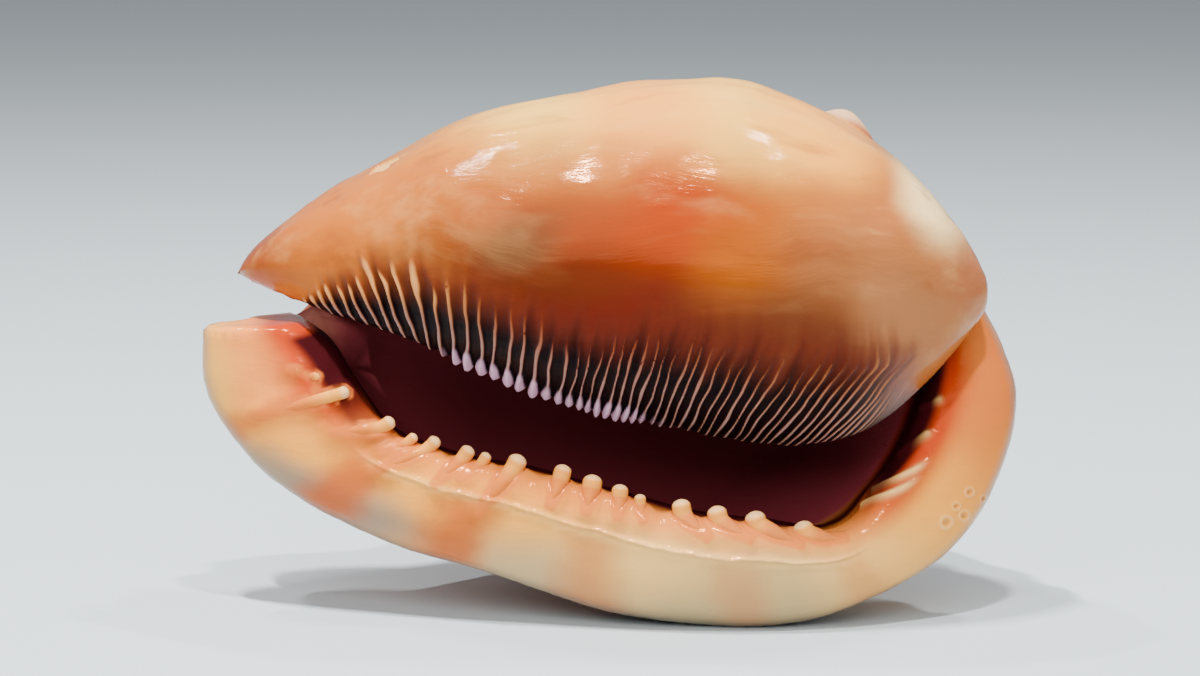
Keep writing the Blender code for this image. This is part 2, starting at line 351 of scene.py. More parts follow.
def lip():
    """The rolled lip. across is 1 at the outer margin and -1 at the inner edge. front is 1 on the face."""
    turn = np.linspace(0, 360, LIP_SIDES, endpoint=False)
    share = np.linspace(0, 1, LIP_STEPS)
    rings = [lip_point(row, turn) for row in lip_stations(share)]
    across, front = np.cos(np.radians(turn)), -np.sin(np.radians(turn))
    return ring_skin("lip", rings, along=share[:, None], across=across[None], front=front[None])


# Teeth across the lip's inner edge: share along the lip and turn where each starts, the same where it crosses
# the edge, how far its tip stands out into the mouth, and its width.
TEETH = (
    ((0.951, 256), (0.946, 249), 0.0, 1.1),
    ((0.938, 245), (0.931, 236), 0.0, 1.6),
    ((0.921, 290), (0.902, 221), 1.2, 2.2),
    ((0.874, 256), (0.849, 205), 2.8, 2.4),
    ((0.826, 236), (0.815, 205), 2.8, 1.8),
    ((0.815, 258), (0.790, 200), 3.3, 2.3),
    ((0.757, 246), (0.748, 200), 3.2, 2.6),
    ((0.738, 232), (0.726, 200), 2.7, 2.0),
    ((0.703, 264), (0.691, 198), 3.1, 3.2),
    ((0.640, 238), (0.637, 196), 3.1, 3.0),
    ((0.602, 232), (0.600, 196), 2.8, 3.3),
    ((0.568, 228), (0.567, 196), 2.6, 2.8),
    ((0.540, 222), (0.543, 196), 2.1, 2.0),
    ((0.472, 226), (0.495, 194), 3.2, 3.2),
    ((0.430, 222), (0.458, 192), 2.9, 3.4),
    ((0.382, 222), (0.420, 192), 2.7, 3.6),
    ((0.332, 218), (0.374, 192), 2.3, 3.6),
)
TOOTH_POINTS = 9
# Shares of a tooth's width: how far it stands off the lip, and the least and the added reach of its tip.
TOOTH_LIFT = 0.14
LEAST_REACH = 0.3
MORE_REACH = 0.12
# Points out to the tip, closer together where it rounds off.
TIP_STEPS = (0.15, 0.3, 0.45, 0.6, 0.72, 0.82, 0.9, 0.96, 1)
TOOTH_SMOOTHING = 6
# Thin ridges on the inner slope towards the spire: shares along the lip and turns.
RIDGES = (
    ((0.290, 182), (0.245, 232), (0.226, 246)),
    ((0.266, 182), (0.225, 228), (0.203, 250)),
    ((0.212, 184), (0.178, 226)),
    ((0.152, 196), (0.142, 232)),
)
# The lip's whole length counts as this many degrees of turn when a ridge's line is smoothed.
LENGTH_IN_TURN = 400
RIDGE_POINTS = 14
# A distance, in millimetres, that no form is near at.
FAR = 99.0


def tooth_line(start, edge, reach, width):
    """A tooth's line over the lip, from the face across the inner edge to its tip, rising as it goes."""
    share = np.linspace(0, 1, TOOTH_POINTS)
    rows = lip_stations(start[0] + (edge[0] - start[0]) * share)
    turns = start[1] + (edge[1] - start[1]) * share
    line = np.array([lip_point(row, turn) for row, turn in zip(rows, turns)])
    inward = np.r_[rows[-1][4] - rows[-1][2], -0.2, rows[-1][5] - rows[-1][3]]
    inward /= np.linalg.norm(inward)
    line[:, 1] -= TOOTH_LIFT * width * ease(share, 0, 0.7)
    reach = max(reach, LEAST_REACH * width) + MORE_REACH * width
    line = np.concatenate([line, line[-1] + inward * reach * np.array(TIP_STEPS)[:, None]])
    for _ in range(TOOTH_SMOOTHING):
        line[1:-2] = (line[:-3] + 2 * line[1:-2] + line[2:-1]) / 4
    return line


def teeth_tree(material):
    """The lip's teeth: round bars along their lines, thin where they start and blunt at the tip."""
    tree, given = new_tree("Lip teeth", {"Lines": "", "Sides": 12, "Start width": 0.3})
    known = {
        "way": add(tree, "GeometryNodeSplineParameter"),
        "done": add(tree, "GeometryNodeSplineParameter", output="Length"),
        "whole": add(tree, "GeometryNodeSplineLength"),
        "width": add(tree, "GeometryNodeInputRadius"),
        "start": given["Start width"],
    }
    work_out(
        tree,
        known,
        tooth="0.5 + 0.5 * ease(way, 0.3, 1)",
        full="0.5 * width * (start + (1.08 - start) * ease(way, 0, 0.6))",
        rest="1 - min((whole - done) / (0.75 * full), 1)",
        radius="full * max(1 - rest * rest, 0.02) ** 0.5",
    )
    lines = write_marks(tree, read_object(tree, given["Lines"]), {"tooth": known["tooth"]})
    sides = add(tree, "GeometryNodeCurvePrimitiveCircle", {"Resolution": given["Sides"], "Radius": 1.0})
    bars = {"Curve": lines, "Profile Curve": sides, "Scale": known["radius"], "Fill Caps": True}
    bars = add(tree, "GeometryNodeCurveToMesh", bars)
    placed = {"Geometry": bars, "Translation": tuple(PLACE * MM), "Scale": (MM,) * 3}
    bars = add(tree, "GeometryNodeTransform", placed)
    bars = write_marks(tree, bars, {"lip_near": 0.0, "shield_near": FAR, "whorls_near": FAR})
    end_tree(tree, bars, material)
    return tree


def teeth(material):
    """The lip's teeth, as an object of their own."""
    lines = line_guide("tooth lines", [tooth_line(*tooth) for tooth in TEETH], [width for *_, width in TEETH])
    bars = grow(link("teeth", bpy.data.meshes.new("teeth")), teeth_tree(material), {"Lines": lines})
    bpy.data.objects.remove(lines)
    return bars


def ridge_lines():
    """Lines on the lip through the places the table gives."""
    lines = []
    for table in RIDGES:
        table = np.array(table) * (LENGTH_IN_TURN, 1)
        at, turn = smooth_line(table, np.linspace(0, 1, RIDGE_POINTS)).T
        rows = lip_stations(at / LENGTH_IN_TURN)
        lines.append(np.array([lip_point(row, one) for row, one in zip(rows, turn)]))
    return line_guide("ridge lines", lines)


# ---------------------------------------------------------------- the coil

GROWTH_PER_TURN = 2.7
APEX_X = 65.0
COIL_START = -400
COIL_END = 300
# The axis bends back in the canal and in the spire: x where that starts, how far, and over what length.
CANAL_BEND = (-35.0, 8.0, 35.0)
SPIRE_BEND = (38.0, 9.0, 28.0)
WALL = 4.2
# How deep in the lip's thickness the last turn runs into it.
SEAM_DEPTH = 0.55
GUIDE_POINTS = 90

# The rolled wall's outline under the axis, from the suture to the canal: how far it lies from the apex along
# the axis, its radius, and how strongly that reach grows with the coil.
PROFILE = (
    (21, 13, 1.0),
    (17, 20, 1.0),
    (18, 27.5, 1.0),
    (21.5, 34, 1.0),
    (26, 39, 0.95),
    (32.5, 43.5, 0.8),
    (41, 49, 0.55),
    (54, 54.5, 0.35),
    (67, 55, 0.25),
    (81, 51, 0.18),
    (96, 42.5, 0.14),
    (110, 33, 0.12),
    (121, 23.5, 0.1),
    (130, 18, 0.1),
    (142, 16, 0.1),
)
# Rows of knobs: reach along the profile, height, width along it, the angle of one, and where the row begins.
KNOB_ROWS = (
    (29, 6.5, 6.5, 120, 98),
    (54, 4.5, 7.0, 257, 114),
    (74, 4.5, 6.0, 261, 114),
    (92, 2.0, 6.0, 255, 114),
)
KNOBS_PER_TURN = 9.5


def coil_tree(material):
    """The whorls: a profile carried round the axis on a growing spiral, with rows of knobs, and thickened."""
    tree, given = new_tree(
        "Whorls",
        {
            "Profile": "",
            "Lip line": "",
            "Turn steps": 300,
            "Profile steps": 80,
            "Growth per turn": GROWTH_PER_TURN,
            "Knobs per turn": KNOBS_PER_TURN,
            "Spire knobs": 1.2,
            "Wall": WALL,
        },
    )
    steps = {"Vertices X": given["Turn steps"], "Vertices Y": given["Profile steps"]}
    skin = add(tree, "GeometryNodeMeshGrid", steps)
    known = {"start": COIL_START, "end": COIL_END, "apex": APEX_X, "axis": AXIS_Z, "degree": DEGREE, "mm": MM}
    known["u"], known["v"] = parts_of(tree, add(tree, "GeometryNodeInputPosition"))[:2]
    known["growth"], known["count"] = given["Growth per turn"], given["Knobs per turn"]
    known["early"], known["wall"] = given["Spire knobs"], given["Wall"]
    known["canal_from"], known["canal_back"], known["canal_over"] = CANAL_BEND
    known["spire_from"], known["spire_back"], known["spire_over"] = SPIRE_BEND
    work_out(tree, known, deg="start + (u + 0.5) * (end - start)", way="v + 0.5")

    def on_line(guide):
        line = {"Curves": read_object(tree, given[guide]), "Factor": known["way"]}
        return add(tree, "GeometryNodeSampleCurve", line, "Position", use_all_curves=False)

    # kept is the share of the profile past 100 mm that a turn has, so the canal is full only at the end.
    known["reach"], known["radius"], known["grows"] = parts_of(tree, on_line("Profile"))
    work_out(
        tree,
        known,
        scale="growth ** ((deg - 270) / 360)",
        kept="1 - 0.62 * hump(deg, 160, 75) - 0.3 * hump(deg, 95, 30) - 0.75 * (1 - ease(deg, -60, 70))",
        reach="min(reach, 100) + max(reach - 100, 0) * kept",
        ridge="4 * hump(deg, 215, 45) * ease(reach, 86 + 26 * kept, 100 + 42 * kept)",
    )
    # begins is the turn where the last whorl's row starts, and early the size of the knobs on the spire.
    known["knobs"] = 0.0
    for row in KNOB_ROWS:
        known.update(zip(("row", "tall", "wide", "first", "begins"), row))
        work_out(
            tree,
            known,
            knobs="knobs + tall * (0.5 + 0.5 * cos(count * (deg - first) * degree)) ** 1.5"
            " * hump(reach, row, wide)"
            " * (ease(deg, begins, begins + 24) + early * scale * (1 - ease(deg, -90, -60)))",
        )
    # swell widens the whorl that rests, and merging is how many degrees the wall takes to run into the lip.
    work_out(
        tree,
        known,
        knobs="knobs * (1 - ease(deg, 262, 292))",
        swell="1 + (0.135 + 0.035 * hump(reach, 84, 14)) * hump(deg, 250, 50)",
        x="apex - reach * scale ** grows",
        out="radius * scale * swell + knobs + ridge",
        lean="canal_back * max((canal_from - x) / canal_over, 0) ** 2"
        " + spire_back * max((x - spire_from) / spire_over, 0) ** 2",
        y="lean - out * cos(deg * degree)",
        z="axis + out * sin(deg * degree)",
        merging="55 + 40 * (1 - min(way / 0.35, 1))",
        share="ease(deg, end - merging, end)",
    )
    point = add(tree, "ShaderNodeCombineXYZ", [known["x"], known["y"], known["z"]])
    ends = {0: known["share"], 4: point, 5: on_line("Lip line")}
    point = add(tree, "ShaderNodeMix", ends, 1, data_type="VECTOR")
    placed = scaled(tree, add(tree, "ShaderNodeVectorMath", [point, tuple(PLACE)], operation="ADD"), MM)
    marks = {"turn": known["deg"], "way": known["way"], "scale": known["scale"], "knob": known["knobs"]}
    skin = write_marks(tree, skin, {"lining": 0.0, **marks})
    skin = add(tree, "GeometryNodeSetPosition", {"Geometry": skin, "Position": placed})
    known["scale"] = read_mark(tree, "scale")
    work_out(tree, known, thick="-wall * mm * min(max(scale, 0.2), 1) ** 0.6")
    wall = {"Mesh": skin, "Offset Scale": known["thick"], "Individual": False}
    wall = add(tree, "GeometryNodeExtrudeMesh", wall)
    lining = write_marks(tree, wall, {"lining": 1.0}, where=wall.node.outputs["Top"])
    lining = add(tree, "GeometryNodeFlipFaces", [lining])
    closed = {"Geometry": join_parts(tree, lining, skin), "Distance": WELD}
    end_tree(tree, add(tree, "GeometryNodeMergeByDistance", closed), material)
    return tree


def coil(material):
    along = np.linspace(0, 1, GUIDE_POINTS)
    row = lip_stations(along)
    seam = np.stack([row[:, 0], row[:, 6] + SEAM_DEPTH * row[:, 7], row[:, 1]], -1)
    guides = {
        "Profile": line_guide("profile line", [smooth_line(PROFILE, along)]),
        "Lip line": line_guide("lip line", [seam]),
    }
    whorls = grow(link("whorls", bpy.data.meshes.new("whorls")), coil_tree(material), guides)
    for guide in guides.values():
        bpy.data.objects.remove(guide)
    return whorls


# ---------------------------------------------------------------- the columella, the pillar on the axis

# Its x and radius, from the canal to the spire.
PILLAR = (
    *((-57, 1), (-52, 3), (-45, 6), (-32, 9), (-10, 9)),
    *((20, 9), (38, 10), (46, 13), (51, 12), (57, 6), (62, 2)),
)
PILLAR_STEPS = 60
PILLAR_SIDES = 32


def pillar():
    angle = np.linspace(0, 2 * math.pi, PILLAR_SIDES, endpoint=False)
    rings = []
    for x, radius in smooth_line(PILLAR, np.linspace(0, 1, PILLAR_STEPS)):
        canal = CANAL_BEND[1] * max((CANAL_BEND[0] - x) / CANAL_BEND[2], 0) ** 2
        spire = SPIRE_BEND[1] * max((x - SPIRE_BEND[0]) / SPIRE_BEND[2], 0) ** 2
        y = canal + spire - radius * np.cos(angle)
        rings.append(np.stack([np.full(PILLAR_SIDES, x), y, AXIS_Z + radius * np.sin(angle)], -1))
    return ring_skin("pillar", rings)


# ---------------------------------------------------------------- the shield, the callus over the front

# Sections across the shield, from the canal to the spire: x, then the top (y, z), the foremost point (y, z)
# and the toothed lower edge (y, z).
SHIELD = (
    (-69.6, (8, 58.4), (5.5, 57.8), (7, 57.3)),
    (-67, (7.5, 62.2), (1, 59.5), (3, 57)),
    (-63, (7, 66), (-4, 60.5), (-1, 56)),
    (-57, (6.5, 70.7), (-9.5, 61.5), (-6, 54.3)),
    (-50, (6, 75.2), (-15, 62.5), (-11, 52.5)),
    (-38, (6, 81.5), (-23.5, 63), (-17, 49.4)),
    (-24, (6, 88), (-30, 63), (-21, 44.5)),
    (-9, (6, 91.6), (-34, 62), (-22, 38.6)),
    (6, (6, 94.2), (-35.5, 61), (-22, 35)),
    (20, (6, 95), (-36, 60), (-21, 31.5)),
    (34, (5, 91.2), (-35, 59), (-20, 30)),
    (46, (4, 85), (-32, 58), (-19.5, 32.5)),
    (56, (-2, 77.2), (-27, 57.5), (-18.5, 40)),
    (62, (-7, 70.4), (-22, 57), (-16, 46)),
    (66, (-10, 64.3), (-17.5, 57), (-13.5, 50.5)),
    (68.7, (-12, 59.3), (-14, 57), (-13, 54.5)),
)
# How far the front's curve turns under before it ends at the toothed edge.
EDGE_TURN = math.radians(68)
# The rim behind the top: how far back it reaches and how far it falls, on a section at least this high.
RIM_REACH = 7.0
RIM_FALL = 1.6
FULL_RIM_HEIGHT = 30.0
# The callus's depth at the rim, half way down and at the edge, and the most that it takes of the height.
CALLUS = (4.0, 9.0, 11.0)
CALLUS_SHARE = 0.42
# How far the toothed edge's rounded nose stands out, where the callus is at least so deep.
EDGE_NOSE = 1.6
FULL_NOSE_DEPTH = 5
SHIELD_SECTIONS = 300
SHIELD_STEPS = 260

# The folds lean: x, how far a fold moves towards +X per millimetre that it climbs, and how high it leans.
FOLD_LEAN = (
    (-69.6, 0.0, 17),
    (-60, -0.4, 17),
    (-50, -0.5, 17),
    (-37, -0.35, 17),
    (-28, -0.06, 17),
    (-19, 0.08, 17),
    (-9, 0.15, 20),
    (2, 0.25, 20),
    (13, 0.35, 20),
    (25, 0.55, 20),
    (34, 0.8, 15),
    (43, 1.1, 12),
    (50, 1.2, 9),
    (60, 0.5, 6),
    (68.7, 0.0, 6),
)


def shield_path(top, front, edge):
    """One section's outline, (y, z), from behind the top down to the lower edge, and the callus's depth."""
    height = top[1] - edge[1]
    rim_share = min(1, height / FULL_RIM_HEIGHT)
    rim = np.linspace(1, 0, 9)[:-1]
    upper = np.linspace(0, math.pi / 2, 30)
    lower = np.linspace(0, EDGE_TURN, 50)[1:]
    y = np.concatenate([
        top[0] + RIM_REACH * rim * rim_share,
        top[0] + (front[0] - top[0]) * np.sin(upper),
        front[0] + (edge[0] - front[0]) / (1 - math.cos(EDGE_TURN)) * (1 - np.cos(lower)),
    ])
    z = np.concatenate([
        top[1] - RIM_FALL * rim**2 * rim_share,
        front[1] + (top[1] - front[1]) * np.cos(upper),
        front[1] + (edge[1] - front[1]) / math.sin(EDGE_TURN) * np.sin(lower),
    ])
    depth = np.interp(np.linspace(0, 2, len(y)), (0, 1, 2), CALLUS)
    return np.stack([y, z], -1), np.minimum(depth, CALLUS_SHARE * height)


def shield_loop(section):
    """One section's closed outline: its outer side, a rounded nose at the toothed edge, its inner side."""
    path, depth = shield_path(section[0:2], section[2:4], section[4:6])
    along = np.gradient(path, axis=0)
    along /= np.linalg.norm(along, axis=1, keepdims=True)
    inward = np.stack([-along[:, 1], along[:, 0]], -1)
    inner = (path + inward * depth[:, None])[::-4]
    t = np.linspace(0, 1, 18)[1:-1, None]
    proud = EDGE_NOSE * min(1, depth[-1] / FULL_NOSE_DEPTH)
    nose = path[-1] + (inner[0] - path[-1]) * t + along[-1] * proud * np.sin(math.pi * t) ** 0.6
    return np.concatenate([path, nose, inner]), len(path), len(nose)


def shield():
    """The shield. above is the height over its toothed edge. side is 0 on the outside and 1 on the inside."""
    flat = np.array([[x, top[1], *top, *front, *edge] for x, top, front, edge in SHIELD], float)
    lowest, highest = flat[0, 0], flat[-1, 0]
    sampled = smooth_line(flat, np.linspace(0, 1, SHIELD_SECTIONS))
    at_x, edges = sampled[:, 0], sampled[:, 7]
    loops = [shield_loop(section[2:]) for section in sampled]
    outer_count, nose_count = loops[0][1:]
    loops = np.array([loop for loop, _, _ in loops])
    base = np.linspace(lowest, highest, SHIELD_STEPS)
    at, lean, most = np.array(FOLD_LEAN, float).T
    edge = np.interp(base, at_x, edges)[:, None]
    z = np.stack([np.interp(base, at_x, column) for column in loops[:, :, 1].T], -1)
    climb = np.clip(z - edge, 0, np.interp(base, at, most)[:, None])
    x = np.clip(base[:, None] + np.interp(base, at, lean)[:, None] * climb, lowest, highest)
    columns = range(x.shape[1])
    y, z = (np.stack([np.interp(x[:, i], at_x, loops[:, i, k]) for i in columns], -1) for k in (0, 1))
    inner_count = x.shape[1] - outer_count - nose_count
    side = np.r_[np.zeros(outer_count), np.linspace(0, 1, nose_count), np.ones(inner_count)]
    return ring_skin("shield", np.stack([x, y, z], -1), above=z - edge, side=side[None], base=base[:, None])


# The folds' spacing in millimetres, to the left of this x and then, more closely, to the right of it.
FOLD_SPACING = (2.3, 1.62)
FOLDS_TIGHTEN_AT = -8.0
# Where the row of folds begins and ends, how steeply it rises and falls there, and its height in between.
FOLDS_FROM = -57
FOLDS_TO = 56
FOLDS_RISE = 0.85
FOLDS_FALL = 1.15
FOLD_HEIGHT = 18.5


def fold_tree(material):
    """The columellar folds: ridges that climb from the shield's toothed edge, each ending there in a bead."""
    sockets = {"Teeth": "", "Ridge height": 0.9, "Bead height": 1.7, "Wander": 0.8, "Seed": 3}
    tree, given = new_tree("Columellar folds", sockets)
    known = {name: read_mark(tree, name) for name in ("base", "above", "side")}
    spot = add(tree, "ShaderNodeCombineXYZ", [known["base"], known["above"], 0.0])
    spot = add(tree, "ShaderNodeVectorMath", [spot, (0.3, 0.13, 0.0)], operation="MULTIPLY")
    first, second = FOLD_SPACING
    known.update(
        near=read_mark(tree, "shield_near"),
        drift=noise(tree, spot),
        wander=given["Wander"],
        tall=given["Ridge height"],
        bulge=given["Bead height"],
        wide=1 / first,
        more=1 / second - 1 / first,
        tighten=FOLDS_TIGHTEN_AT,
        begin=FOLDS_FROM,
        end=FOLDS_TO,
        rising=FOLDS_RISE,
        falling=FOLDS_FALL,
        level=FOLD_HEIGHT,
    )
    work_out(
        tree,
        known,
        x="base + wander * 2 * (drift - 0.5)",
        phase="x * wide + max(x - tighten, 0) * more",
        number="round(phase)",
    )
    draw = {"ID": known["number"], "Seed": given["Seed"]}
    known["chance"] = add(tree, "FunctionNodeRandomValue", draw, 1, data_type="FLOAT")
    known["stain"] = noise(tree, add(tree, "ShaderNodeCombineXYZ", [known["phase"], 0.0, 0.0]), 0.7)
    # left is the broad, plain stretch at the canal end, and line is the crest of one fold.
    work_out(
        tree,
        known,
        height="max(min(min(rising * (x - begin), level + 4 * ease(x, -8, 8)), falling * (end - x)), 0.001)",
        left="1 - ease(x, -36, -18)",
        climb="min(max(above / height, 0), 1.5)",
        own_climb="climb / (0.8 + 0.3 * chance)",
        apart="2 * abs(phase - number)",
        broad="0.25 + left * 0.3 * ease(climb, 0.4, 0.95) + 0.08 * chance + 0.25 * ease(x, 26, 44)",
        line="hump(apart, 0, broad)",
        close="1 - ease(near, 0.9, 1.6)",
        outside="close * (1 - ease(side, 0.2, 0.6))",
        near_edge="close * (1 - ease(side, 0.05, 0.4))",
        zone="near_edge * (1 - ease(climb, 0.85, 1.3))",
        fade="climb / (0.55 + 0.9 * stain) + 0.05 * left",
        on="near_edge * (1 - ease(own_climb, 0.45 + 0.25 * left, 1.15)) * (1 - ease(x, 42, 52))",
        beaded="ease(x, -34, -26) * (1 - ease(x, 0, 14)) * (1 - ease(above, 1, 4.5)) * outside"
        " * (0.6 + 0.6 * chance)",
        bead="max(1 - (apart / max(0.95 - 0.17 * max(above, 0), 0.15)) ** 2, 0) ** 0.5 * beaded",
        ends="ease(x, -36, -28) * (1 - ease(x, 8, 16))",
        calm="ends + (1 - ends) * ease(above, 0.2, 2.6)",
        rise="tall * (0.6 + 0.5 * left) * (line - 0.35) * on * calm * (1 - 0.8 * beaded)"
        " + bulge * (bead - 0.2 * beaded)",
        crest="line * on",
    )
    marks = {name: known[name] for name in ("crest", "climb", "fade", "bead", "zone")}
    moved = raise_skin(tree, write_marks(tree, given["Geometry"], marks), known["rise"])
    end_tree(tree, join_parts(tree, read_object(tree, given["Teeth"]), moved), material)
    return tree


# ---------------------------------------------------------------- relief of growth and age

# A chip in the shield's rim, and how far round it the skin is fine.
CHIP = (-41.0, -7.5, 80.3)
CHIP_REACH = 5
# Scars of boring worms on the lip's face: x, z, radius. Their middle, and how far round it the skin is fine.
SCARS = ((60.6, 18.2, 1.1), (62.5, 20.9, 0.7), (64.0, 19.1, 0.9), (65.1, 23.2, 0.8), (67.7, 21.7, 0.6))
SCARRED = (64.0, -28.0, 20.7)
SCARRED_REACH = 7


def relief_tree(material):
    """Slow lumps and wrinkles, the lip's step, ridges, tooth feet and scars, and the chip in the rim."""
    tree, given = new_tree(
        "Relief",
        {
            "Ridges": "",
            "Teeth": "",
            "Lumps": 0.9,
            "Step": 0.5,
            "Ridge height": 0.8,
            "Tooth foot": 0.9,
            "Chip depth": 0.55,
        },
    )
    place = scaled(tree, add(tree, "GeometryNodeInputPosition"), 1 / MM)
    drawn = add(tree, "ShaderNodeVectorMath", [place, (0.06, 0.16, 0.2)], operation="MULTIPLY")
    ridges = {"Geometry": read_object(tree, given["Ridges"]), "Translation": tuple(PLACE)}
    ridges = add(tree, "GeometryNodeCurveToMesh", [add(tree, "GeometryNodeTransform", ridges)])
    ridges = {"Geometry": ridges, "Sample Position": place}
    bars = {"Geometry": read_object(tree, given["Teeth"])}
    known = {name: read_mark(tree, name) for name in ("along", "across", "front", "above", "side")}
    known["x"], _, known["z"] = parts_of(tree, place)
    known.update(
        slow=noise(tree, place, 1 / 21),
        small=noise(tree, place, 1 / 7),
        wrinkle=noise(tree, drawn, detail=2.0),
        ragged=noise(tree, place, 0.5, 2.0),
        to_tooth=add(tree, "GeometryNodeProximity", bars, "Distance", target_element="FACES"),
        to_ridge=add(tree, "GeometryNodeProximity", ridges, "Distance", target_element="EDGES"),
        to_chip=add(tree, "ShaderNodeVectorMath", [place, CHIP], "Value", operation="DISTANCE"),
        lip_near=read_mark(tree, "lip_near"),
        shield_near=read_mark(tree, "shield_near"),
        lumps=given["Lumps"],
        step_height=given["Step"],
        ridge_height=given["Ridge height"],
        foot=given["Tooth foot"],
        deep=given["Chip depth"],
        scar=0.0,
    )
    work_out(
        tree,
        known,
        swelling="hump(to_tooth * 1000, 0, 1.7)",
        tooth="0.5 * swelling",
        on="1 - ease(lip_near, 0.4, 2)",
        face="ease(front, 0.2, 0.6)",
        ridge="hump(to_ridge, 0, 0.75) * (1 - ease(across, -0.62, -0.38))",
        step="hump(across + 0.16 * (slow - 0.5) + 0.1 * (small - 0.5), -0.33, 0.07) * face"
        " * ease(along, 0.3, 0.36) * (1 - ease(along, 0.8, 0.86)) * on",
        callus="(1 - ease(shield_near, 0.4, 2)) * (1 - ease(side, 0.1, 0.5)) * ease(above, 3, 12)",
        chip="1 - ease(to_chip + 5 * (ragged - 0.5), 2.3, 3)",
    )
    for scar in SCARS:
        known.update(zip(("scar_x", "scar_z", "radius"), scar))
        work_out(
            tree,
            known,
            away="((x - scar_x) * (x - scar_x) + (z - scar_z) * (z - scar_z)) ** 0.5 / radius",
            scar="scar + (hump(away, 1, 0.35) - 0.9 * (1 - ease(away, 0.4, 0.9))) * face * on",
        )
    work_out(
        tree,
        known,
        rise="lumps * (callus + 0.5 * on)"
        " * (2.4 * (slow - 0.5) + 0.3 * (small - 0.5) + 0.9 * (wrinkle - 0.5))"
        " + step_height * step + ridge_height * ridge + foot * swelling + 0.22 * scar - deep * chip * callus",
    )
    marks = {name: known[name] for name in ("ridge", "tooth", "step", "chip", "scar")}
    skin = raise_skin(tree, write_marks(tree, given["Geometry"], marks), known["rise"])
    end_tree(tree, skin, material)
    return tree


# ---------------------------------------------------------------- the material


def tint(code):
    """A screen colour, as six hex digits, in the linear values the shaders use."""
    parts = [int(code[i : i + 2], 16) / 255 for i in (0, 2, 4)]
    return (*(part / 12.92 if part <= 0.04045 else ((part + 0.055) / 1.055) ** 2.4 for part in parts), 1.0)


# Clouds of colour in the callus: colour, centre (x, z), half width and height, turn in degrees, and strength.
SHIELD_CLOUDS = (
    ("b45c18", (-54, 68), (30, 20), 30, 0.8),
    ("f0b44a", (0, 95), (72, 22), 0, 1.0),
    ("c4681a", (-30, 83), (18, 9), 25, 0.6),
    ("c06c24", (-44, 76), (14, 8), 25, 0.5),
    ("e88c34", (6, 90), (19, 15), 0, 0.8),
    ("f29c36", (38, 88), (17, 11), -20, 0.7),
    ("8c3512", (0, 74), (46, 18), 0, 0.9),
    ("661d12", (4, 56), (50, 27), 0, 1.0),
    ("983006", (14, 75), (19, 13), 0, 1.0),
    ("9c4a06", (24, 67), (15, 18), 0, 0.85),
    ("581e0c", (-14, 66), (30, 9), 0, 0.75),
    ("5a3420", (-15, 71), (14, 7), 40, 0.8),
    ("945a35", (45, 64), (22, 20), 0, 0.7),
    ("62301c", (34, 50), (34, 15), -10, 0.9),
    ("a16942", (53, 56), (16, 14), 0, 0.8),
    ("ffdc98", (59, 76), (10, 14), 35, 0.85),
    ("a25e3c", (67, 64), (12, 12), 0, 0.8),
    ("8c3a10", (-68, 63), (17, 12), 0, 0.95),
)
LIP_CLOUDS_AND_PAINTED_SHADE = (
    ("ec843a", (-66, 48), (24, 20), 0, 0.9),
    ("e8ac48", (-74, 38), (11, 24), 0, 0.8),
    ("ecc274", (20, 8), (60, 22), 0, 0.8),
    ("c25828", (70, 46), (18, 30), 0, 0.8),
    # Painted shade and painted reflection of the floor: these greys and olives dull the lip's lower face and
    # its underside.
    ("b7a078", (-18, 8), (17, 12), 0, 0.8),
    ("b39a6a", (28, 8), (22, 10), 0, 0.7),
    ("7c7c6c", (10, -4), (95, 15), 0, 0.9),
    ("7a7a70", (-51, 22), (34, 8), -25, 0.85),
)
# Clouds are colours of the front only, so they go this far through the shell, in millimetres.
CLOUD_DEPTH = 1e4
# Bars of brown across the lip: share along it, half width, and strength.
LIP_BARS = (
    (0.92, 0.014, 0.6),
    (0.822, 0.03, 0.85),
    (0.716, 0.034, 0.85),
    (0.59, 0.034, 0.5),
    (0.45, 0.03, 0.3),
    (0.34, 0.025, 0.35),
)
# Marks that the colours read: those of the forms, and those of the relief and the folds.
FORM_COLOURS = "along across front side turn way knob lining lip_near shield_near whorls_near".split()
RELIEF_COLOURS = "climb fade crest zone bead chip ridge tooth step scar".split()
# How far the clouds' outlines wander.
CLOUD_DRIFT = 12.0


